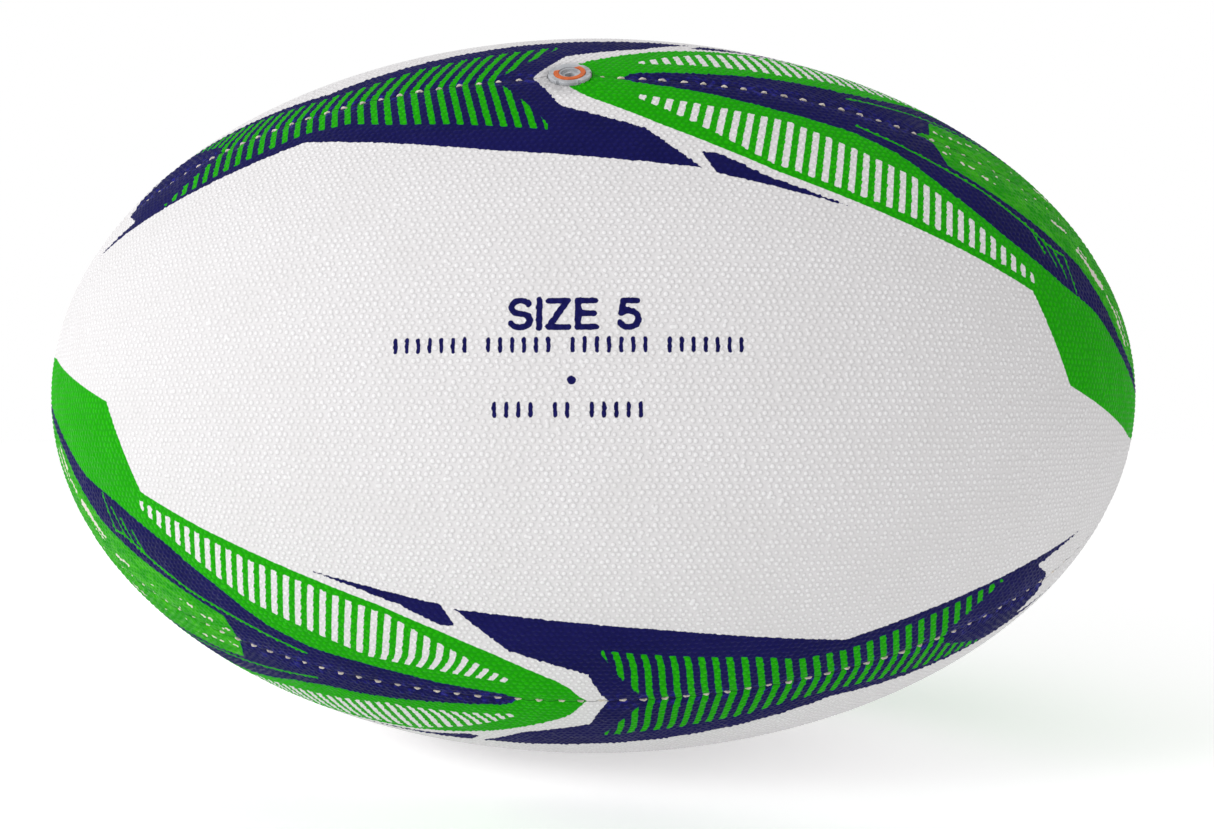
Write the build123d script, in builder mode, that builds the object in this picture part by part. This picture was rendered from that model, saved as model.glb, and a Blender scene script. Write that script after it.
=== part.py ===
from build123d import *
import os

# A four-panel, hand-sewn rugby ball. X is the long axis, the front panel faces -Y, +Z is up,
# and the origin is the ball's centre. All sizes are in millimetres.

# Outer shape: an ellipsoid of revolution.
ball_length = 290.0
ball_diameter = 191.0

# Panel layers, from the outside in.
cover_thickness = 0.9
ply_thickness = 0.65

# Seams: each panel's edge is folded inwards, and the two folded flanges are sewn back to back.
# The tips are trimmed round, so that four folded corners don't crowd together at each end.
half_seam_gap = 0.3
fold_radius = 2.4
flange_depth = 5.5
tip_trim_radius = 1.6

# Stitching.
thread_diameter = 0.7
thread_clearance = 0.05
stitch_pitch = 4.5
stitch_depth = 3.0
stitch_end_margin = 12.0
thread_bend_radius = 0.55

# Bladder.
bladder_thickness = 0.6
bladder_clearance = 0.1

# Valve, on the seam between the front and top panels.
head_radius = 4.75
head_top = 0.9
head_bottom = -1.3
head_edge = 0.25
notch_radius = 0.45
notch_count = 6
recess_radius = 2.0
recess_depth = 0.6
neck_radius = 2.6
neck_bottom = -11.5
needle_bore_radius = 1.1
core_radius = 1.9
core_top = -6.0
core_bottom = -10.0
ring_inner_radius = 2.45
ring_outer_radius = 3.5
ring_bottom = 0.5
ring_top = 1.1
housing_radius = 4.0
housing_bottom = -13.0
housing_flange_radius = 5.2
housing_flange_thickness = 1.1
panel_hole_radius = 4.95
pocket_radius = 6.0
pocket_top = -2.6
patch_radius = 5.8
patch_thickness = 0.7
boss_top = -3.4
boss_radius = 5.9
valve_fit = 0.05

half_length = ball_length / 2
ball_radius = ball_diameter / 2
panel_thickness = cover_thickness + 2 * ply_thickness
boss_floor = boss_top - bladder_thickness

# Each panel is modelled facing +Z, then turned about X to its place.
panel_turns = {"top": 0, "front": 90, "bottom": 180, "back": 270}
seam_turns = {"front_top": 0, "bottom_front": 90, "back_bottom": 180, "top_back": 270}

# Directions of the valve seam, before any turn: outwards in the seam's plane, and across it.
seam_outward = Vector(0, -1, 1).normalized()
seam_across = Vector(0, 1, 1).normalized()


def valve_plane(height):
    """The plane square to the valve's axis, at a height above the ball's surface."""
    return Plane(origin=seam_outward * (ball_radius + height), x_dir=(1, 0, 0), z_dir=seam_outward)


def ellipsoid(depth, band_count=1):
    """The whole ball, shrunk by a depth below its outer surface. Its skin is one face or more bands."""
    band = 180 / band_count
    with BuildPart() as body:
        with BuildSketch(Plane.XY):
            with BuildLine():
                for index in range(band_count):
                    EllipticalCenterArc(
                        (0, 0),
                        half_length - depth,
                        ball_radius - depth,
                        start_angle=index * band,
                        arc_size=band,
                    )
                Line((depth - half_length, 0), (half_length - depth, 0))
            make_face()
        revolve(axis=Axis.X, clean=False)
    return body.part


def wedge(depth, side_offset, corner_radius):
    """A quarter of the ball facing +Z: the space behind one panel, at a depth below its outside.

    Its two side planes stand back from the seams by side_offset. corner_radius rounds the
    edges along the seams, where the panel folds inwards.
    """
    with BuildPart() as body:
        with BuildSketch(Plane.XY):
            with BuildLine():
                EllipticalCenterArc((0, 0), half_length - depth, ball_radius - depth, arc_size=180)
                Line((depth - half_length, 0), (half_length - depth, 0))
            make_face()
        revolve(axis=Axis.X, revolution_arc=180)
        for side in (-1, 1):
            inwards = Vector(0, side, 1).normalized()
            split(bisect_by=Plane(origin=inwards * side_offset, z_dir=inwards), keep=Keep.TOP)
        fillet(body.edges().filter_by(GeomType.LINE, reverse=True), corner_radius)
    return body.part


def stitch_points(side):
    """Points (x, distance from the X axis) of the stitches on one half of a seam, middle first."""
    with BuildLine() as stitch_line:
        EllipticalCenterArc(
            (0, 0),
            half_length - stitch_depth,
            ball_radius - stitch_depth,
            start_angle=90,
            arc_size=-side * 90,
        )
    edge = stitch_line.edges()[0]
    usable = edge.length - stitch_end_margin
    count = int((usable - stitch_pitch / 2) // stitch_pitch) + 1
    distances = [(index + 0.5) * stitch_pitch for index in range(count)]
    return [edge.position_at(distance, PositionMode.LENGTH) for distance in distances]


def seam_point(point, across):
    """A stitch point placed in the valve seam's plane, moved across the seam."""
    return Vector(point.X, 0, 0) + seam_outward * point.Y + seam_across * across


stitch_halves = {side: stitch_points(side) for side in (-1, 1)}
all_stitches = stitch_halves[-1] + stitch_halves[1]
valve_seam_halves = {
    side: [point for point in points if abs(point.X) > pocket_radius + thread_diameter / 2]
    for side, points in stitch_halves.items()
}

# Panel layers: name, depth of the outer face and thickness. Each one is folded at its edges.
layers = [
    ("cover", 0.0, cover_thickness),
    ("outer_ply", cover_thickness, ply_thickness),
    ("inner_ply", cover_thickness + ply_thickness, ply_thickness),
]
flange_core = ellipsoid(flange_depth)
hole_radius = thread_diameter / 2 + thread_clearance


def panel_layer(depth, thickness):
    """One layer of a panel, facing +Z: a quarter shell with a pierced flange along each seam."""
    outer = wedge(depth, half_seam_gap + depth, fold_radius - depth)
    inner_depth = depth + thickness
    inner = wedge(inner_depth, half_seam_gap + inner_depth, fold_radius - inner_depth)
    drill_length = 2 * (half_seam_gap + panel_thickness + thread_diameter)
    with BuildPart() as body:
        add(outer)
        add(inner, mode=Mode.SUBTRACT)
        add(flange_core, mode=Mode.SUBTRACT)
        Cylinder(tip_trim_radius, ball_length, rotation=(0, 90, 0), mode=Mode.SUBTRACT)
        for side in (-1, 1):
            outward = Vector(0, side, 1).normalized()
            across = Vector(0, -side, 1).normalized()
            drill_places = [
                Plane(origin=Vector(point.X, 0, 0) + outward * point.Y, z_dir=across).location
                for point in all_stitches
            ]
            with Locations(*drill_places):
                Cylinder(hole_radius, drill_length, mode=Mode.SUBTRACT)
    return body.part


def with_valve_opening(layer):
    """A layer beside the valve, with its half of the valve's hole and of the pocket behind it."""
    hole_plane = valve_plane(-flange_depth - bladder_thickness)
    hole_height = flange_depth + bladder_thickness + head_top
    with BuildPart() as body:
        add(layer)
        with BuildSketch(hole_plane):
            Circle(panel_hole_radius)
        extrude(amount=hole_height, mode=Mode.SUBTRACT)
        with BuildSketch(hole_plane):
            Circle(pocket_radius)
        extrude(amount=pocket_top + flange_depth + bladder_thickness, mode=Mode.SUBTRACT)
    return body.part


os.makedirs("parts", exist_ok=True)

# ---- The four panels: a pimpled rubber cover on two cloth plies ----
for layer_name, layer_depth, layer_thickness in layers:
    blank = panel_layer(layer_depth, layer_thickness)
    for panel_name, turn in panel_turns.items():
        placed = blank.rotate(Axis.X, turn)
        if panel_name in ("front", "top"):
            placed = with_valve_opening(placed)
        with BuildPart() as panel:
            add(placed)
        panel.part.label = f"{layer_name}_{panel_name}"
        export_step(panel.part, f"parts/{panel.part.label}.step")


# ---- Seam threads: one waxed thread that runs in and out through both flanges ----
def thread_run(points):
    """A running stitch through the given points of the valve seam."""
    reach = half_seam_gap + panel_thickness + thread_clearance + thread_diameter / 2
    corners = []
    across = reach
    for point in points:
        corners.append(seam_point(point, across))
        across = -across
        corners.append(seam_point(point, across))
    with BuildPart() as body:
        with BuildLine() as path:
            FilletPolyline(*corners, radius=thread_bend_radius)
        with BuildSketch(Plane(origin=path.line @ 0, z_dir=path.line % 0)):
            Circle(thread_diameter / 2)
        sweep(transition=Transition.RIGHT)
    return body.part


whole_run = thread_run(stitch_halves[-1][::-1] + stitch_halves[1])
half_runs = [thread_run(points) for points in valve_seam_halves.values()]
for seam_name, turn in seam_turns.items():
    runs = half_runs if seam_name == "front_top" else [whole_run.rotate(Axis.X, turn)]
    with BuildPart() as thread:
        add(runs)
    thread.part.label = f"seam_thread_{seam_name}"
    export_step(thread.part, f"parts/{thread.part.label}.step")


# ---- Bladder: a hollow butyl rubber skin inside the flanges, with a boss under the valve ----
def bladder_solid(inset, boss_height, radius):
    """The bladder's outside, or its inside at an inset, filled: its body and the valve's boss.

    The body's skin is three bands. The boss meets the middle one, and the tips are on the others,
    because a face that has both a hole and a tip isn't read back whole from a STEP file.
    """
    with BuildPart() as body:
        add(ellipsoid(flange_depth + bladder_clearance + inset, 3), clean=False)
        with BuildSketch(valve_plane(boss_height)):
            Circle(radius)
        extrude(amount=-2 * flange_depth, clean=False)
    return body.part


bladder_outside = bladder_solid(0, boss_top, boss_radius)
bladder_inside = bladder_solid(bladder_thickness, boss_floor, boss_radius - bladder_thickness)
with BuildPart() as bladder:
    add(bladder_outside, clean=False)
    add(bladder_inside, clean=False, mode=Mode.SUBTRACT)
    with BuildSketch(valve_plane(boss_top)):
        Circle(housing_radius + valve_fit)
    extrude(amount=-2 * bladder_thickness, clean=False, mode=Mode.SUBTRACT)
bladder.part.label = "bladder"
export_step(bladder.part, "parts/bladder.step")

# ---- Valve housing: the rubber tube bonded to the bladder, with a flange inside it ----
with BuildPart() as valve_housing:
    with BuildSketch(valve_plane(housing_bottom)):
        Circle(housing_radius)
        Circle(neck_radius + valve_fit, mode=Mode.SUBTRACT)
    extrude(amount=head_bottom - valve_fit - housing_bottom)
    with BuildSketch(valve_plane(boss_floor - valve_fit)):
        Circle(housing_flange_radius)
        Circle(neck_radius + valve_fit, mode=Mode.SUBTRACT)
    extrude(amount=-housing_flange_thickness)
valve_housing.part.label = "valve_housing"
export_step(valve_housing.part, "parts/valve_housing.step")

# ---- Valve patch: a cloth washer that backs the panels where the valve passes through ----
with BuildPart() as valve_patch:
    with BuildSketch(valve_plane(boss_top)):
        Circle(patch_radius)
        Circle(housing_radius + valve_fit, mode=Mode.SUBTRACT)
    extrude(amount=patch_thickness)
valve_patch.part.label = "valve_patch"
export_step(valve_patch.part, "parts/valve_patch.step")

# ---- Valve insert: the grey head with its neck, pressed into the housing ----
with BuildPart() as valve_insert:
    with BuildSketch(valve_plane(head_bottom)):
        Circle(head_radius)
    extrude(amount=head_top - head_bottom)
    fillet(valve_insert.edges().group_by(SortBy.DISTANCE)[-1], head_edge)
    with BuildSketch(valve_plane(neck_bottom)):
        Circle(neck_radius)
    extrude(amount=head_bottom - neck_bottom)
    with BuildSketch(valve_plane(ring_bottom)):
        Circle(ring_outer_radius + valve_fit)
        Circle(ring_inner_radius - valve_fit, mode=Mode.SUBTRACT)
    extrude(amount=head_top - ring_bottom, mode=Mode.SUBTRACT)
    with BuildSketch(valve_plane(head_top)):
        Circle(recess_radius)
    extrude(amount=-recess_depth, mode=Mode.SUBTRACT)
    with BuildSketch(valve_plane(head_top)):
        Circle(needle_bore_radius)
    extrude(amount=neck_bottom - head_top, mode=Mode.SUBTRACT)
    with BuildSketch(valve_plane(core_bottom)):
        Circle(core_radius)
    extrude(amount=core_top - core_bottom, mode=Mode.SUBTRACT)
    with BuildSketch(valve_plane(head_top)):
        with PolarLocations(head_radius, notch_count):
            Circle(notch_radius)
    extrude(amount=-head_top, mode=Mode.SUBTRACT)
valve_insert.part.label = "valve_insert"
export_step(valve_insert.part, "parts/valve_insert.step")

# ---- Valve core: the soft plug that seals itself when the needle is drawn out ----
with BuildPart() as valve_core:
    with BuildSketch(valve_plane(core_bottom + valve_fit)):
        Circle(core_radius - valve_fit)
    extrude(amount=core_top - core_bottom - 2 * valve_fit)
valve_core.part.label = "valve_core"
export_step(valve_core.part, "parts/valve_core.step")

# ---- Valve ring: the orange trim ring, seated in the head's groove ----
with BuildPart() as valve_ring:
    with BuildSketch(valve_plane(ring_bottom)):
        Circle(ring_outer_radius)
        Circle(ring_inner_radius, mode=Mode.SUBTRACT)
    extrude(amount=ring_top - ring_bottom)
    fillet(valve_ring.edges().group_by(SortBy.DISTANCE)[-1], head_edge / 2)
valve_ring.part.label = "valve_ring"
export_step(valve_ring.part, "parts/valve_ring.step")
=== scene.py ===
import math

import bpy
import numpy as np
from mathutils import Matrix, Quaternion, Vector


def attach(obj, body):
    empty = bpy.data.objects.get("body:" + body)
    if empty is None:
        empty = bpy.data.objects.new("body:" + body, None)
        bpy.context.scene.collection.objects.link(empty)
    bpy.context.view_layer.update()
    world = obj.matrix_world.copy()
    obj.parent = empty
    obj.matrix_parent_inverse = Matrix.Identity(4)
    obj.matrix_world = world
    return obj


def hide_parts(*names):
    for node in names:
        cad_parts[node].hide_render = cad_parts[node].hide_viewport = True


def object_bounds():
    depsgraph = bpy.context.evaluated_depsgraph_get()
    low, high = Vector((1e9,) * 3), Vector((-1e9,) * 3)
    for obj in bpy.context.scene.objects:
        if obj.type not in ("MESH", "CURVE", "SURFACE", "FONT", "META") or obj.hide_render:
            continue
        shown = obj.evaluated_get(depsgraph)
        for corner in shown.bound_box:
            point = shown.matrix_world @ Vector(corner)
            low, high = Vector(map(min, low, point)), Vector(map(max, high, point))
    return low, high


# A hand-sewn rugby ball: four pimpled rubber panels, sewn seams and a valve.
# X is the long axis, the front panel faces -Y and +Z is up. Shapes are worked out in millimetres.
MM = 0.001

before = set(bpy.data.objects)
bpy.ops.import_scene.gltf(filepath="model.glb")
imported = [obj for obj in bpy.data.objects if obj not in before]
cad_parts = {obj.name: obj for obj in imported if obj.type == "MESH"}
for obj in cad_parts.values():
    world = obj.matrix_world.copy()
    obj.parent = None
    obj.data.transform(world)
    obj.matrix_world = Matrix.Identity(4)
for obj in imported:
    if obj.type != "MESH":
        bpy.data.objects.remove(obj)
cad_low, cad_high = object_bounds()

# ---- Driving sizes, in millimetres ----
half_length = 145.0
ball_radius = cad_high.z / MM
pimple_pitch = 1.46
steps_per_pimple = 4
pimple_radius = 0.53
pimple_height = 0.19
pimple_jitter = 0.14
pimple_sizes = (0.86, 1.08)
pimple_power = 0.7
pimple_base = 0.3
seam_pimple = 0.25
seam_flat_width = (0.1, 1.2)
groove_width = 2.8
groove_depth = 0.32
groove_power = 2.0
groove_at_valve = 0.15
groove_fade = (5.5, 10.0)
stitch_dimple = 0.6
seam_gap = 0.03
seam_row = 0.08
crevice_depth = 0.6
stitch_pitch = 4.5
stitch_end_margin = 12.0
valve_clearance = 6.6
valve_hole_radius = 4.85
valve_collar = 0.35
valve_collar_fall = 1.6
valve_rim_drop = 1.1
panel_turns = {"top": 0, "front": 90, "bottom": 180, "back": 270}
seam_turns = {"front_top": 45, "bottom_front": 135, "back_bottom": 225, "top_back": 315}

# ---- Camera ----
camera = bpy.data.objects.new("camera", bpy.data.cameras.new("camera"))
bpy.context.scene.collection.objects.link(camera)
bpy.context.scene.camera = camera
camera.location = (0.01328, -0.27715, -0.00862)
camera_roll = math.radians(-0.08)
camera.rotation_mode = "QUATERNION"
camera.rotation_quaternion = camera.location.to_track_quat("Z", "Y") @ Quaternion((0, 0, 1), camera_roll)
camera.data.sensor_width = 36.0
camera.data.lens = 28.89
camera.data.shift_x = 0.018
camera.data.shift_y = -0.0153
camera.data.clip_start = 0.01
camera.data.clip_end = 20.0


# ---- Shader helpers ----
def srgb(red, green, blue):
    """A colour given as 0-255 values, as the linear colour that shaders use."""
    channels = [value / 255 for value in (red, green, blue)]
    linear = [v / 12.92 if v <= 0.04045 else ((v + 0.055) / 1.055) ** 2.4 for v in channels]
    return (*linear, 1.0)


class Shader:
    """A material with one Principled shader, and short calls for the nodes that feed it."""

    def __init__(self, name, roughness, specular=0.5):
        self.material = bpy.data.materials.new(name)
        self.material.use_nodes = True
        self.tree = self.material.node_tree
        self.tree.nodes.clear()
        self.principled = self.tree.nodes.new("ShaderNodeBsdfPrincipled")
        output = self.tree.nodes.new("ShaderNodeOutputMaterial")
        self.tree.links.new(self.principled.outputs[0], output.inputs[0])
        self.set("Roughness", roughness)
        self.set("Specular IOR Level", specular)
        self.place = self.tree.nodes.new("ShaderNodeTexCoord").outputs["Object"]

    def put(self, socket, value):
        if isinstance(value, bpy.types.NodeSocket):
            self.tree.links.new(value, socket)
        else:
            socket.default_value = value

    def set(self, name, value):
        self.put(self.principled.inputs[name], value)

    def math(self, operation, *values):
        node = self.tree.nodes.new("ShaderNodeMath")
        node.operation = operation
        for socket, value in zip(node.inputs, values):
            self.put(socket, value)
        return node.outputs[0]

    def attribute(self, name):
        node = self.tree.nodes.new("ShaderNodeAttribute")
        node.attribute_name = name
        return node.outputs["Fac"]

    def noise(self, size, detail=2.0, distortion=0.0, stretch=(1, 1, 1)):
        """Noise whose features are about size millimetres across."""
        mapping = self.tree.nodes.new("ShaderNodeMapping")
        mapping.inputs["Scale"].default_value = stretch
        self.tree.links.new(self.place, mapping.inputs["Vector"])
        node = self.tree.nodes.new("ShaderNodeTexNoise")
        self.tree.links.new(mapping.outputs[0], node.inputs["Vector"])
        node.inputs["Scale"].default_value = 1 / (size * MM)
        node.inputs["Detail"].default_value = detail
        node.inputs["Distortion"].default_value = distortion
        return node.outputs[0]

    def wave(self, direction, size, distortion=0.0):
        node = self.tree.nodes.new("ShaderNodeTexWave")
        node.bands_direction = direction
        self.tree.links.new(self.place, node.inputs["Vector"])
        node.inputs["Scale"].default_value = 0.314 / (size * MM)
        node.inputs["Distortion"].default_value = distortion
        return node.outputs["Fac"]

    def ramp(self, value, low, high, from_value=0.0, to_value=1.0):
        """A smooth step of value from low to high, between two numbers."""
        node = self.tree.nodes.new("ShaderNodeMapRange")
        node.interpolation_type = "SMOOTHSTEP"
        for name, number in zip(
            ("Value", "From Min", "From Max", "To Min", "To Max"), (value, low, high, from_value, to_value)
        ):
            self.put(node.inputs[name], number)
        return node.outputs[0]

    def mix(self, share, first, second, blend="MIX"):
        node = self.tree.nodes.new("ShaderNodeMix")
        node.data_type = "RGBA"
        node.blend_type = blend
        for index, value in ((0, share), (6, first), (7, second)):
            self.put(node.inputs[index], value)
        return node.outputs[2]

    def bump(self, height, distance, strength=1.0):
        """Adds a bump of height 0 to 1 times distance, in millimetres, on top of any bump before it."""
        node = self.tree.nodes.new("ShaderNodeBump")
        node.inputs["Strength"].default_value = strength
        node.inputs["Distance"].default_value = distance * MM
        self.tree.links.new(height, node.inputs["Height"])
        normal = self.principled.inputs["Normal"]
        if normal.is_linked:
            self.tree.links.new(normal.links[0].from_socket, node.inputs["Normal"])
        self.tree.links.new(node.outputs[0], normal)


# ---- Materials ----
def cover_material():
    """Off-white pimpled rubber, screen-printed in green and navy."""
    shader = Shader("printed_rubber", 0.5, 0.03)
    dome = shader.attribute("dome")
    foot = shader.attribute("foot")
    seam = shader.attribute("seam")
    grain = shader.noise(0.35, 3)
    blotch = shader.noise(14, 3)
    unevenness = shader.noise(0.9)

    def ink_mask(name, ragged=0.28):
        """Where an ink lies. Its edge follows the pimples, and wavers over a width of up to ragged mm."""
        edge_shift = shader.math("MULTIPLY_ADD", dome, 0.14, -0.03)
        waver = shader.math("MULTIPLY_ADD", unevenness, ragged, -ragged / 2)
        edge_shift = shader.math("ADD", edge_shift, waver)
        amount = shader.math("ADD", shader.attribute(name), edge_shift)
        return shader.ramp(amount, -0.07, 0.07)

    # Bare rubber: painted shade, darker between the pimples and darkest in a ring round each pimple's foot;
    # and a little darker in soft handling marks.
    rubber = shader.mix(shader.ramp(dome, 0.2, 0.8), srgb(209, 207, 208), srgb(222, 221, 222))
    # Painted shade: a darker ring round each pimple's foot.
    ring = shader.math("MULTIPLY", shader.ramp(foot, -0.35, 0.0), shader.ramp(foot, 0.45, 0.1))
    rubber = shader.mix(shader.math("MULTIPLY", ring, 0.3), rubber, srgb(176, 173, 174))
    rubber = shader.mix(shader.ramp(blotch, 0.35, 0.75, 0.0, 0.35), rubber, srgb(204, 202, 202))
    fleck = shader.ramp(shader.noise(0.7), 0.68, 0.78, 0.0, 0.35)
    rubber = shader.mix(fleck, rubber, srgb(176, 166, 164))
    grime = shader.ramp(shader.attribute("valve"), 9.5, 5.0)
    rubber = shader.mix(shader.math("MULTIPLY", grime, shader.noise(1.6)), rubber, srgb(120, 120, 124))

    green = shader.mix(shader.ramp(blotch, 0.3, 0.7), srgb(28, 156, 3), srgb(34, 166, 6))
    # Painted shade: the green is darker between the pimples than on their tops.
    green = shader.mix(shader.ramp(dome, 0.0, 0.6), srgb(22, 146, 2), green)
    brush = shader.noise(2.4, 4, 0.6, (0.16, 1, 1))
    brushed = shader.mix(shader.ramp(brush, 0.38, 0.68), srgb(22, 140, 4), srgb(56, 164, 20))
    green = shader.mix(shader.ramp(shader.attribute("patch"), -0.1, 0.6), green, brushed)

    navy = shader.mix(shader.ramp(blotch, 0.3, 0.7), srgb(16, 16, 68), srgb(20, 19, 76))
    # Painted shade: the navy is lighter on the pimple tops than between them.
    navy = shader.mix(shader.ramp(dome, 0.1, 0.9, 0.0, 0.5), navy, srgb(24, 24, 86))
    # Painted highlight: beside the seam the navy is lightened to a bright blue in patches, standing in for
    # the light's sheen there; the same mask also lowers the roughness, for real gloss.
    beside_seam = shader.ramp(seam, 4.2, 0.6)
    seam_gloss_and_painted_sheen = shader.math("MULTIPLY", beside_seam, shader.ramp(shader.noise(1.5, 4), 0.5, 0.66))
    navy = shader.mix(shader.math("MULTIPLY", seam_gloss_and_painted_sheen, 0.5), navy, srgb(40, 40, 150))

    colour = shader.mix(ink_mask("green"), rubber, green)
    colour = shader.mix(ink_mask("navy", 0.8), colour, navy)
    colour = shader.mix(ink_mask("marks"), colour, navy)
    colour = shader.mix(ink_mask("overprint"), colour, green)
    colour = shader.mix(ink_mask("speck"), colour, srgb(206, 200, 190))
    # Painted shade: the last 0.4 mm before the seam is darkened to near-black, for the shade in the seam's
    # crevice.
    crevice = shader.ramp(seam, 0.4, 0.0, 0.0, 0.4)
    colour = shader.mix(crevice, colour, srgb(40, 38, 48))
    shader.set("Base Color", colour)
    roughness = shader.ramp(shader.noise(5, 3), 0.3, 0.7, 0.42, 0.56)
    shader.set("Roughness", shader.math("MULTIPLY_ADD", seam_gloss_and_painted_sheen, -0.12, roughness))
    shader.bump(shader.math("SQRT", shader.math("MAXIMUM", foot, 0.0)), 0.06)
    shader.bump(grain, 0.03)
    shader.bump(shader.noise(1.1, 3), 0.05)
    return shader.material


def thread_material():
    """Off-white waxed thread with a fine fibre grain and some grey dirt."""
    shader = Shader("waxed_thread", 0.55, 0.3)
    fibre = shader.noise(0.12, 3, 0.0, (0.3, 1, 1))
    dirt = shader.ramp(shader.noise(3.0, 3), 0.4, 0.7)
    colour = shader.mix(shader.ramp(fibre, 0.3, 0.7), srgb(166, 156, 146), srgb(226, 218, 206))
    colour = shader.mix(shader.math("MULTIPLY", dirt, 0.6), colour, srgb(132, 124, 122))
    shader.set("Base Color", colour)
    shader.set("Roughness", shader.ramp(fibre, 0.3, 0.7, 0.45, 0.7))
    shader.bump(fibre, 0.05)
    return shader.material


# The valve ring's smear: its direction from the valve's middle, and how far out it starts, in millimetres.
smear_sideways = -0.36
smear_upwards = 0.66
smear_edge = (1.95, 2.2)
smear_unevenness = 0.7


def moulded_material(name, dark, light, roughness, dirt_colour, smear_colour=None):
    """A moulded rubber or plastic part: faint mottling, fine grain, and dirt in soft patches.

    A smear colour covers the part of the valve's ring that is furthest up the ball.
    """
    shader = Shader(name, roughness, 0.35)
    colour = shader.mix(shader.ramp(shader.noise(1.6, 4), 0.3, 0.7), dark, light)
    colour = shader.mix(shader.ramp(shader.noise(2.4, 4), 0.55, 0.72, 0.0, 0.55), colour, dirt_colour)
    if smear_colour:
        place = shader.tree.nodes.new("ShaderNodeSeparateXYZ")
        shader.tree.links.new(shader.place, place.inputs[0])
        upwards = shader.math("ADD", place.outputs["Y"], place.outputs["Z"])
        upwards = shader.math("MULTIPLY", upwards, smear_upwards)
        reach = shader.math("ADD", upwards, shader.math("MULTIPLY", place.outputs["X"], smear_sideways))
        reach = shader.math("MULTIPLY_ADD", shader.noise(1.2), smear_unevenness * MM, reach)
        colour = shader.mix(shader.ramp(reach, *(edge * MM for edge in smear_edge)), colour, smear_colour)
    shader.set("Base Color", colour)
    shader.set("Roughness", shader.ramp(shader.noise(0.9, 3), 0.3, 0.7, roughness - 0.08, roughness + 0.1))
    shader.bump(shader.noise(0.25, 3), 0.03)
    shader.bump(shader.noise(1.4, 2), 0.06)
    return shader.material


def cloth_material():
    """The woven cotton and polyester backing cloth of the panels, in a plain weave."""
    shader = Shader("woven_backing", 0.85, 0.2)
    warp = shader.wave("X", 0.5, 0.4)
    weft = shader.wave("Z", 0.5, 0.4)
    cross = shader.wave("Y", 0.5, 0.4)
    weave = shader.math("MAXIMUM", warp, shader.math("MAXIMUM", weft, cross))
    colour = shader.mix(weave, srgb(150, 140, 122), srgb(214, 204, 186))
    colour = shader.mix(shader.ramp(shader.noise(6, 3), 0.4, 0.7, 0.0, 0.4), colour, srgb(188, 172, 144))
    shader.set("Base Color", colour)
    shader.bump(weave, 0.12)
    return shader.material


# ---- Shape of the ball: places given by arc along a meridian and angle round the X axis ----
meridian_count = 6001
meridian_angles = np.linspace(-math.pi / 2, math.pi / 2, meridian_count)
middles = (meridian_angles[1:] + meridian_angles[:-1]) / 2
meridian_speeds = np.hypot(half_length * np.cos(middles), ball_radius * np.sin(middles))
meridian_steps = meridian_speeds * np.diff(meridian_angles)
meridian_arcs = np.concatenate(([0.0], np.cumsum(meridian_steps)))
meridian_arcs -= meridian_arcs[-1] / 2
pole_arc = meridian_arcs[-1]


def meridian(arc):
    """For arcs from the ball's middle: x, distance from the X axis, and the outward normal's two parts."""
    angle = np.interp(arc, meridian_arcs, meridian_angles)
    normal_x = ball_radius * np.sin(angle)
    normal_r = half_length * np.cos(angle)
    size = np.hypot(normal_x, normal_r)
    return half_length * np.sin(angle), ball_radius * np.cos(angle), normal_x / size, normal_r / size


# ---- Print: signed distances in millimetres, positive inside, in a panel's own flat coordinates ----
# s runs along the panel from its middle and c across it, positive towards the print's own seam.
navy_block = [
    (-8.2, 78), (-8.2, 75), (-1.5, 63.1), (16.2, 55.6), (27.4, 44.6), (-15, 49.6), (-58.5, 57.4),
    (-124, 35), (-109.5, 42.8), (-114.5, 46.1), (-116, 50), (-113, 60), (-60, 78),
]
navy_sliver = [(27.6, 49.0), (30.8, 48.9), (40.0, 43.4), (57.5, 36.6), (30.3, 43.5)]
green_field = [
    (-3.5, 78), (-3.5, 75), (0.5, 69.5), (4.5, 66), (20, 56.5), (31.5, 50.4), (43.6, 44.2), (66, 35.2),
    (86, 27.2), (102.5, 20.1), (112.9, -0.1), (127, -4.7), (148, -11.5), (195, -16), (195, 78),
]
navy_boat = [
    (10.5, 80), (10.5, 75), (14, 72.5), (30, 68.7), (43, 64.5), (62, 58.6), (72, 53), (83.5, 43),
    (96.5, 33), (105, 27.8), (114, 22.6), (127, 17), (138, 8.9), (145.2, 4.2), (155, -0.5), (195, -0.5),
    (195, 80),
]
green_patch = [
    (79.5, 80), (79.5, 63), (83, 60.5), (85, 52), (93.7, 46.9), (111, 37.0), (123.6, 28.9),
    (130.7, 21.9), (135, 17.4), (139.6, 12.2), (147, 6.9), (157, 1.5), (195, 1.0), (195, 80),
]
boat_line = [
    (63, 61.5), (73.2, 56.3), (82.9, 51), (93.2, 45.5), (106.3, 36.5), (109.9, 33.8), (113.7, 31.6),
    (117.2, 30.7),
]
boat_branches = [
    [(106.3, 36.5), (109.4, 30.1)], [(109.9, 33.8), (112.9, 27.2)],
    [(113, 32), (116.1, 24.5)], [(117.2, 30.7), (119.2, 21)],
]
boat_line_width = 0.65
branch_width = 0.5
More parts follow.
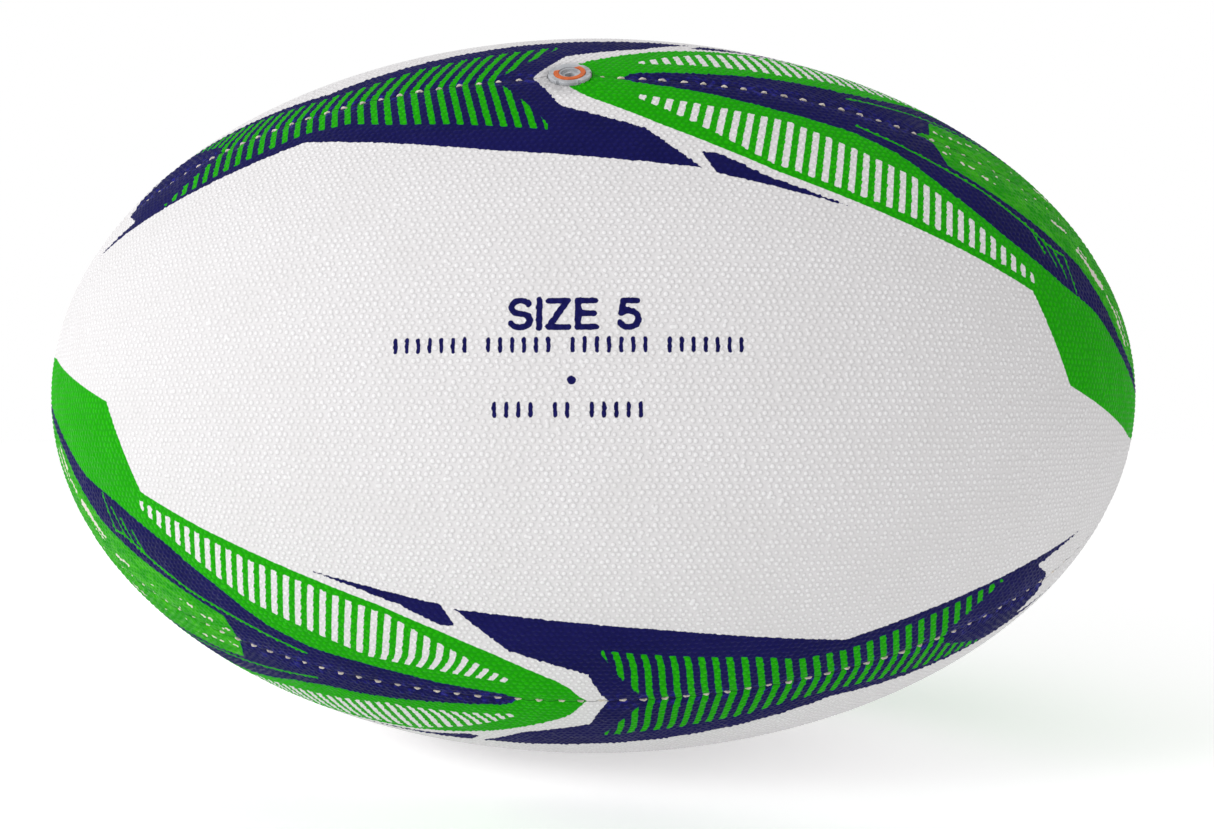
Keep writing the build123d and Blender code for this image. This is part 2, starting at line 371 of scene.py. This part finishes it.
# Specks and streaks: each one's points, and its width.
specks = [
    ([(85.1, 57.1), (85.8, 56.7)], 0.7), ([(86.9, 57.1), (87.1, 57.0)], 0.5),
    ([(89.8, 54.6), (90.2, 53.9)], 0.8), ([(91.9, 53.9), (92.9, 53.3)], 0.7),
    ([(95.2, 51.0), (96.4, 50.2)], 0.8), ([(98.4, 49.3), (98.7, 49.2)], 0.5),
    ([(100.4, 52.7), (100.6, 52.5)], 0.5), ([(108.7, 46.9), (109.0, 46.6)], 0.5),
]
dry_streaks = [
    ([(117.5, 41.9), (119.5, 40.6)], 0.8), ([(120.6, 40.6), (122.6, 39.4)], 1.0),
    ([(125.4, 34.1), (128.7, 31.0)], 1.0), ([(128.4, 31.3), (130.9, 28.6)], 1.5),
    ([(130.9, 28.4), (132.6, 26.6), (134.6, 25.1)], 2.4), ([(126.8, 35.2), (130.0, 32.4)], 0.5),
    ([(137.2, 22.4), (139.4, 19.6)], 0.9), ([(139.9, 19.8), (142.9, 14.8)], 0.6),
    ([(141.4, 16.0), (145.2, 10.5)], 1.0), ([(143.0, 19.5), (149.5, 10.5)], 0.7),
]
hatch_window = [
    (-16, 76), (-16, 74), (-6.4, 61.2), (-3.8, 56.6), (-3.8, 55.2), (-9.7, 56.1), (-25.5, 58.4),
    (-38.2, 59.8), (-48.4, 62), (-59.4, 60.7), (-65, 58.5), (-97.6, 44.8), (-98, 45.5), (-86, 58), (-80, 76),
]
bar_window = [
    (15, 67.3), (47.4, 59.8), (75, 46), (103.6, 24.1), (103.6, 22.0), (88.8, 27.9), (72.9, 34.8), (58, 40.4),
    (42, 46.7), (15, 65.8),
]
stripe_pitch = 3.0
hatch_first = -7.8
hatch_width = 1.4
hatch_leans = ((-98, -10), (0.2, 0.26))
hatch_ease_from = -30
hatch_ease = 0.085
bar_first = 15.5
bar_width = 1.5
bar_lean = 0.2
outside = -9.0


def smooth_step(value, low, high):
    share = np.clip((value - low) / (high - low), 0, 1)
    return share * share * (3 - 2 * share)


def polygon(points, s, c):
    """Signed distance to a closed outline."""
    inside = np.zeros(s.shape, bool)
    nearest = np.full(s.shape, 1e6)
    for (s0, c0), (s1, c1) in zip(points, points[1:] + points[:1]):
        ds, dc = s1 - s0, c1 - c0
        along = np.clip(((s - s0) * ds + (c - c0) * dc) / (ds * ds + dc * dc), 0, 1)
        nearest = np.minimum(nearest, (s - s0 - along * ds) ** 2 + (c - c0 - along * dc) ** 2)
        if dc:
            inside ^= ((c0 > c) != (c1 > c)) & (s < s0 + (c - c0) * ds / dc)
    return np.where(inside, 1, -1) * np.sqrt(nearest)


def stroke(points, width, s, c):
    """Signed distance to a line of a given width through the points."""
    nearest = np.full(s.shape, 1e6)
    for (s0, c0), (s1, c1) in zip(points, points[1:]):
        ds, dc = s1 - s0, c1 - c0
        along = np.clip(((s - s0) * ds + (c - c0) * dc) / (ds * ds + dc * dc), 0, 1)
        nearest = np.minimum(nearest, (s - s0 - along * ds) ** 2 + (c - c0 - along * dc) ** 2)
    return width / 2 - np.sqrt(nearest)


def stripes(position, first, pitch, width):
    """Signed distance to evenly spaced stripes."""
    offset = np.abs((position - first + pitch / 2) % pitch - pitch / 2)
    return width / 2 - offset


def printed_half(s, c):
    """The print beside one seam: the green, the navy over it, the green over that, and the patch."""
    # The navy block's green hatch leans with c, and its pitch is wider past hatch_ease_from: 3.3 mm.
    hatch_place = s + np.interp(s, *hatch_leans) * (c - 60)
    hatch_place = hatch_place - np.minimum(hatch_place - hatch_ease_from, 0) * hatch_ease
    hatch = stripes(hatch_place, hatch_first, stripe_pitch, hatch_width)
    hatch = np.minimum(hatch, polygon(hatch_window, s, c))
    bar_place = s - bar_lean * (c - 50)
    bars = np.minimum(stripes(bar_place, bar_first, stripe_pitch, bar_width), polygon(bar_window, s, c))
    patch = polygon(green_patch, s, c)
    lines = stroke(boat_line, boat_line_width, s, c)
    for branch in boat_branches:
        lines = np.maximum(lines, stroke(branch, branch_width, s, c))
    navy = np.maximum(polygon(navy_block, s, c), polygon(navy_sliver, s, c))
    navy = np.maximum(navy, polygon(navy_boat, s, c))
    green = np.minimum(polygon(green_field, s, c), -bars)
    return green, navy, np.maximum(np.maximum(hatch, lines), patch), patch


def speck_field(s, c):
    """Short pale dashes in the brushed patch, and dry-brush streaks towards the ball's end."""
    field = np.full(s.shape, outside)
    for points, width in specks + dry_streaks:
        field = np.maximum(field, stroke(points, width, s, c))
    return field


far_seam_fade = (60, 74)
far_end_fade = (160, 188)
far_along = ((-57, 25), (0, 5.2))
far_across = ((-57, -15, 110), (0, 2.1, 3.2))


def far_print_place(s, c):
    """Where the near print is read for a place beside the far seam: half a turn round, and a little off.

    The offset fades out towards the seam and towards the ball's end, so that the print meets itself there.
    """
    fade = (1 - smooth_step(-c, *far_seam_fade)) * (1 - smooth_step(-s, *far_end_fade))
    along = np.interp(-s, *far_along) * fade
    across = np.interp(-s, *far_across) * fade
    return along - s, -c - across


def arc_points(centre, radii, start, end, count=14):
    """Points along an arc of an ellipse, for angles in degrees."""
    angles = np.radians(np.linspace(start, end, count))
    return [(centre[0] + radii[0] * math.cos(a), centre[1] + radii[1] * math.sin(a)) for a in angles]


# The size mark's plain letters, 6.2 mm high, each as strokes from its lower left corner.
letter_height = 6.2
size_letters = [
    (-9.9, [arc_points((2.2, 4.45), (1.75, 1.3), 25, 270) + arc_points((2.2, 1.85), (1.9, 1.35), 90, -155)]),
    (-4.1, [[(0, 0.4), (0, 5.8)]]),
    (-2.5, [[(0.2, 5.65), (3.7, 5.65), (0.2, 0.55), (3.9, 0.55)]]),
    (2.9, [[(3.6, 5.65), (0.3, 5.65), (0.3, 0.55), (3.7, 0.55)], [(0.3, 3.2), (3.3, 3.2)]]),
    (10.7, [[(3.6, 5.65), (1.05, 5.65), (0.65, 3.2)] + arc_points((2.05, 2.1), (1.85, 1.6), 130, -150)]),
]
size_mark_base = 9.5
letter_width = 1.2
tick_rows = [(5.6, -32.0, 2.28, (7, 6, 7, 7)), (-6.7, -12.6, 2.3, (4, 2, 5))]
tick_height = 2.3
tick_width = 0.8
dot_place = 2.0
dot_width = 1.7


def front_marks(s, c):
    """The size mark, two rows of plain ticks and a dot, in the middle of the front panel."""
    field = dot_width / 2 - np.hypot(s - dot_place, c)
    for left, strokes in size_letters:
        for points in strokes:
            placed = [(left + u, size_mark_base + v) for u, v in points]
            field = np.maximum(field, stroke(placed, letter_width, s, c))
    for row, start, pitch, groups in tick_rows:
        place = start
        for count in groups:
            for _ in range(count):
                tick = [(place, row), (place, row + tick_height)]
                field = np.maximum(field, stroke(tick, tick_width, s, c))
                place += pitch
            place += pitch
    return field


# ---- Panels ----
def lattice():
    """A flat triangular lattice that covers a panel: s, c, triangles and the lattice's spacing."""
    spacing = pimple_pitch / steps_per_pimple
    row_gap = spacing * math.sqrt(3) / 2
    rows = int((ball_radius * math.pi / 4 + 2) / row_gap)
    columns = int((pole_arc + 1) / spacing)
    j, i = np.mgrid[-rows : rows + 1, -columns : columns + 1]
    s = spacing * (i + (j % 2) / 2)
    c = row_gap * j
    width = 2 * columns + 1
    here = (np.arange(2 * rows)[:, None] * width + np.arange(width - 1)[None, :]).reshape(-1)
    odd_row = np.repeat((np.arange(-rows, rows) % 2).astype(bool), width - 1)
    right, above, above_right = here + 1, here + width, here + width + 1
    lower = np.stack([here, right, np.where(odd_row, above_right, above)], 1)
    upper = np.stack([np.where(odd_row, here, right), above_right, above], 1)
    return s.reshape(-1), c.reshape(-1), np.concatenate([lower, upper])


def pimples(s, c, random):
    """Two fields of the round pimples, which stand in slightly uneven staggered rows.

    The first is their height, from 0 to about 1. The second is 1 at a pimple's middle, 0 at its foot and
    less outside.
    """
    row_gap = pimple_pitch * math.sqrt(3) / 2
    rows = int(ball_radius / row_gap) + 4
    columns = int(pole_arc / pimple_pitch) + 4
    shift = random.normal(0, pimple_jitter, (2, 2 * rows, 2 * columns))
    scale = random.uniform(*pimple_sizes, (2 * rows, 2 * columns))
    height = np.zeros(s.shape)
    inside = np.full(s.shape, -1.0)
    for step in (0, 1):
        row = np.floor(c / row_gap).astype(int) + step
        stagger = (row % 2) / 2
        column = np.round(s / pimple_pitch - stagger).astype(int)
        at = (row + rows, column + columns)
        ds = s - pimple_pitch * (column + stagger) - shift[0][at]
        dc = c - row_gap * row - shift[1][at]
        cap = 1 - (ds * ds + dc * dc) / (pimple_radius * scale[at]) ** 2
        height = np.maximum(height, np.clip(cap, 0, 1) ** pimple_power * scale[at])
        inside = np.maximum(inside, cap)
    return height, inside


def panel_mesh(name, turn, seed):
    """One cover panel: its pimples, its rolled edges along the seams, and its print."""
    random = np.random.default_rng(seed)
    across_sign = 1 if name in ("front", "back") else -1
    s, y, triangles = lattice()
    arc = np.clip(s, -pole_arc, pole_arc)
    x, radius, normal_x, normal_r = meridian(arc)
    angle = y / np.maximum(radius, 1e-6)
    to_seam = radius * np.sin(np.clip(math.pi / 4 - np.abs(angle), -math.pi / 2, math.pi / 2))
    spacing = pimple_pitch / steps_per_pimple
    half_step = spacing / 2
    keep = (to_seam > -1.5 * spacing) & (np.abs(angle) < 1.2) & (np.abs(s) <= pole_arc)

    # The valve sits on the front_top seam, which is on the panel's positive c side.
    has_valve = name in ("front", "top")
    beside_valve = has_valve & (y * across_sign > 0)
    to_valve = np.where(beside_valve, np.hypot(x, to_seam), 1e3)
    keep &= to_valve > valve_hole_radius - 1.5 * spacing
    used = keep[triangles].all(axis=1)
    triangles = triangles[used]
    order, triangles = np.unique(triangles, return_inverse=True)
    triangles = triangles.reshape(-1, 3)
    s, y, x, radius, normal_x, normal_r, angle, to_seam, to_valve = (
        values[order] for values in (s, y, x, radius, normal_x, normal_r, angle, to_seam, to_valve)
    )
    c = y * across_sign

    # Rolled edge: the groove is deepest at each stitch, and the last row drops into the crevice.
    side_distance = np.maximum(to_seam, 0)
    open_groove = smooth_step(to_valve, *groove_fade)
    pull = 1 + stitch_dimple * np.cos(2 * math.pi * (s / stitch_pitch - 0.5))
    depth = groove_depth * pull * np.clip(1 - side_distance / groove_width, 0, 1) ** groove_power
    depth = depth * (groove_at_valve + (1 - groove_at_valve) * open_groove)
    over_edge = to_seam < -half_step
    depth = depth + np.where(over_edge, crevice_depth, 0)
    dome, foot = pimples(s, c, random)
    flatten = smooth_step(side_distance, *seam_flat_width)
    depth = depth - pimple_height * (dome - pimple_base) * (seam_pimple + (1 - seam_pimple) * flatten)
    depth = depth - valve_collar * np.exp(-np.maximum(to_valve - valve_hole_radius, 0) / valve_collar_fall)
    depth = depth + np.where(to_valve < valve_hole_radius - half_step, valve_rim_drop, 0)

    x = x - normal_x * depth
    radius = radius - normal_r * depth
    snapped = np.where(np.abs(to_seam) < half_step, seam_row, to_seam)
    snapped = np.maximum(snapped, seam_gap)
    near_seam = to_seam < half_step
    edge_angle = math.pi / 4 - np.arcsin(np.clip(snapped / np.maximum(radius, 0.2), 0, 0.7))
    angle = np.where(near_seam, np.sign(angle) * edge_angle, angle)

    # The hole's rim is drawn out to a clean circle round the valve.
    rim = to_valve < valve_hole_radius + 0.3 * spacing
    stretch = np.where(rim, valve_hole_radius / np.maximum(to_valve, 1e-6), 1.0)
    x = x * stretch
    rim_gap = np.clip(to_seam, 0, None) * stretch
    rim_angle = math.pi / 4 - np.arcsin(np.clip(np.maximum(rim_gap, seam_gap) / radius, 0, 0.7))
    angle = np.where(rim, np.sign(angle) * rim_angle, angle)

    places = np.stack([x, radius * np.sin(angle), radius * np.cos(angle)], 1) * MM
    mesh = bpy.data.meshes.new(f"panel_{name}")
    mesh.vertices.add(len(places))
    mesh.vertices.foreach_set("co", places.astype(np.float32).reshape(-1))
    mesh.loops.add(triangles.size)
    mesh.loops.foreach_set("vertex_index", triangles[:, [0, 2, 1]].astype(np.int32).reshape(-1))
    mesh.polygons.add(len(triangles))
    mesh.polygons.foreach_set("loop_start", np.arange(0, triangles.size, 3, dtype=np.int32))
    mesh.update(calc_edges=True)
    mesh.transform(Matrix.Rotation(math.radians(turn), 4, "X"))
    if mesh.polygons[len(triangles) // 2].normal.dot(mesh.polygons[len(triangles) // 2].center) < 0:
        mesh.flip_normals()
    mesh.shade_smooth()

    far_place = far_print_place(s, c)
    green, navy, overprint, patch = (
        np.maximum(near, far) for near, far in zip(printed_half(s, c), printed_half(*far_place))
    )
    marks = front_marks(s, c) if name == "front" else np.full(s.shape, outside)
    speck = np.maximum(speck_field(s, c), speck_field(*far_place))
    fields = {
        "green": green, "navy": navy, "marks": marks, "overprint": overprint, "patch": patch, "speck": speck,
        "dome": np.clip(dome, 0, 1), "foot": foot, "seam": side_distance, "valve": to_valve,
    }
    for field_name, values in fields.items():
        layer = mesh.attributes.new(field_name, "FLOAT", "POINT")
        layer.data.foreach_set("value", values.astype(np.float32))
    return mesh


def add_piece(name, mesh, material, slot, *nodes):
    """Shows a mesh in place of the named CAD nodes."""
    piece = bpy.data.objects.new(name, mesh)
    bpy.context.scene.collection.objects.link(piece)
    mesh.materials.append(material)
    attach(piece, "root")
    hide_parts(*nodes)
    return piece


printed_rubber = cover_material()
for number, (panel_name, panel_turn) in enumerate(panel_turns.items()):
    panel = panel_mesh(panel_name, panel_turn, 40 + number)
    add_piece(f"panel_{panel_name}", panel, printed_rubber, "pimpled_rubber", f"cover_{panel_name}")


# ---- Stitches: each shows as a short arch of twisted thread in the groove ----
thread_radius = 0.27
stitch_half_length = 0.72
stitch_lengths = (0.72, 1.1)
stitch_rise = 0.6
stitch_foot = 0.62
stitch_lean = 0.12
stitch_lift = 0.06
stitch_sway = 0.08
stitch_slip = 0.12
tip_sink = 0.22
sinking_arcs = (75, 105)
twist_turn = 4.2
ply_bulge = 0.13
along_count = 17
round_count = 14


def stitch_tube(random, sink):
    """One stitch's vertices, as (along the seam, across it, outwards), and its quads. sink lowers it."""
    length = stitch_half_length * random.uniform(*stitch_lengths)
    lean = random.normal(0, stitch_lean)
    turn = np.linspace(-1.0, 1.0, along_count)
    path_along = length * np.sin(turn * math.pi / 2)
    path_up = stitch_rise * (np.cos(turn * math.pi / 2) - stitch_foot) + random.normal(0, stitch_lift) - sink
    tangent = np.stack([np.gradient(path_along), np.gradient(path_up)], 1)
    tangent /= np.linalg.norm(tangent, axis=1)[:, None]
    round_angle = np.linspace(0, 2 * math.pi, round_count, endpoint=False)
    twist = turn[:, None] * twist_turn + random.uniform(0, 3)
    ply = 1 + ply_bulge * np.cos(2 * (round_angle[None, :] - twist))
    ring = thread_radius * ply * np.clip(1.15 - 0.3 * turn[:, None] ** 4, 0, 1.1)
    outward = ring * np.cos(round_angle)
    sideways = ring * np.sin(round_angle)
    along = path_along[:, None] - tangent[:, 1:] * outward
    up = path_up[:, None] + tangent[:, :1] * outward
    across = sideways + lean * path_along[:, None] + random.normal(0, stitch_sway)
    points = np.stack([along, across, up], 2).reshape(-1, 3)
    quads = []
    for a in range(along_count - 1):
        for b in range(round_count):
            after = (b + 1) % round_count
            quads.append((a * round_count + b, a * round_count + after,
                          (a + 1) * round_count + after, (a + 1) * round_count + b))
    last = (along_count - 1) * round_count
    ends = [list(range(round_count))[::-1], list(range(last, last + round_count))]
    return points, quads, ends


def stitch_mesh(name, turn, seed):
    """All the stitches of one seam. turn is the seam's angle round the X axis, from +Z."""
    random = np.random.default_rng(seed)
    usable = pole_arc - stitch_end_margin
    count = int(usable // stitch_pitch)
    arcs = [(index + 0.5) * stitch_pitch for index in range(-count, count)]
    if name == "front_top":
        arcs = [arc for arc in arcs if abs(arc) > valve_clearance]
    seam_angle = math.radians(turn)
    outward_yz = Vector((0, -math.sin(seam_angle), math.cos(seam_angle)))
    across_axis = np.array((0, math.cos(seam_angle), math.sin(seam_angle)))
    vertices, faces = [], []
    for arc in arcs:
        arc = arc + random.normal(0, stitch_slip)
        x, radius, normal_x, normal_r = (float(value) for value in meridian(arc))
        origin = np.array((x, *(outward_yz * radius)[1:]))
        outward = np.array((normal_x, *(outward_yz * normal_r)[1:]))
        along_axis = np.cross(across_axis, outward)
        base = origin - outward * groove_depth * (1 + stitch_dimple)
        points, quads, ends = stitch_tube(random, tip_sink * float(smooth_step(abs(arc), *sinking_arcs)))
        placed = base + points[:, :1] * along_axis + points[:, 1:2] * across_axis + points[:, 2:] * outward
        first = len(vertices)
        vertices.extend((placed * MM).tolist())
        faces.extend([[first + corner for corner in face] for face in quads + ends])
    mesh = bpy.data.meshes.new(f"stitches_{name}")
    mesh.from_pydata(vertices, [], faces)
    mesh.update()
    mesh.shade_smooth()
    return mesh


waxed_thread = thread_material()
for number, (seam_name, seam_turn) in enumerate(seam_turns.items()):
    stitches = stitch_mesh(seam_name, seam_turn, 60 + number)
    add_piece(f"stitches_{seam_name}", stitches, waxed_thread, "waxed_thread", f"seam_thread_{seam_name}")

# ---- Materials of the CAD nodes that stay ----
valve_grey = moulded_material(
    "valve_grey", srgb(150, 152, 156), srgb(178, 180, 184), 0.45, srgb(112, 110, 112)
)
valve_orange = moulded_material(
    "valve_orange", srgb(184, 80, 12), srgb(202, 94, 20), 0.42, srgb(146, 78, 34), srgb(160, 162, 166)
)
core_rubber = moulded_material(
    "core_rubber", srgb(84, 84, 86), srgb(112, 112, 114), 0.6, srgb(60, 58, 58)
)
butyl = moulded_material("butyl", srgb(26, 26, 28), srgb(38, 38, 40), 0.55, srgb(70, 66, 64))
backing = cloth_material()
finishes = {
    "valve_insert": valve_grey,
    "valve_ring": valve_orange,
    "valve_core": core_rubber,
    "valve_housing": butyl,
    "bladder": butyl,
    "valve_patch": backing,
}
for node_name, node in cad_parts.items():
    if "ply" in node_name:
        finishes[node_name] = backing
    if node_name in finishes:
        node.data.materials.clear()
        node.data.materials.append(finishes[node_name])

# ---- Studio: a pale floor, a white surround and soft lights ----
floor_level = cad_low.z
floor_radius = 6.0
floor_mesh = bpy.data.meshes.new("floor")
rim_count = 96
rim_angles = [2 * math.pi * index / rim_count for index in range(rim_count)]
rim = [(floor_radius * math.cos(a), floor_radius * math.sin(a), floor_level) for a in rim_angles]
floor_mesh.from_pydata(rim, [], [list(range(rim_count))])
floor = bpy.data.objects.new("floor", floor_mesh)
bpy.context.scene.collection.objects.link(floor)
floor_paint = Shader("studio_floor", 0.8, 0.1)
floor_paint.set("Base Color", floor_paint.mix(
    floor_paint.noise(400, 2), srgb(244, 244, 244), srgb(250, 250, 250)))
floor_paint.set("Emission Color", (1, 1, 1, 1))
floor_paint.set("Emission Strength", 0.33)
floor_mesh.materials.append(floor_paint.material)

# The surround shows as white, and lights the ball a little less than that.
surround_light = 0.74
world = bpy.data.worlds.new("studio")
world.use_nodes = True
background = world.node_tree.nodes["Background"]
background.inputs["Color"].default_value = (1, 1, 1, 1)
rays = world.node_tree.nodes.new("ShaderNodeLightPath")
strength = world.node_tree.nodes.new("ShaderNodeMapRange")
strength.inputs["To Min"].default_value = surround_light
strength.inputs["To Max"].default_value = 1.0
world.node_tree.links.new(rays.outputs["Is Camera Ray"], strength.inputs["Value"])
world.node_tree.links.new(strength.outputs[0], background.inputs["Strength"])
bpy.context.scene.world = world


def soft_light(name, place, size, power):
    """A square area light that faces the ball."""
    light = bpy.data.lights.new(name, "AREA")
    light.size = size
    light.energy = power
    holder = bpy.data.objects.new(name, light)
    bpy.context.scene.collection.objects.link(holder)
    holder.location = place
    holder.rotation_mode = "QUATERNION"
    holder.rotation_quaternion = Vector(place).to_track_quat("Z", "Y")


soft_light("key", (-0.76, -0.56, 0.41), 0.3, 5.1)

bpy.context.scene.view_settings.view_transform = "Standard"
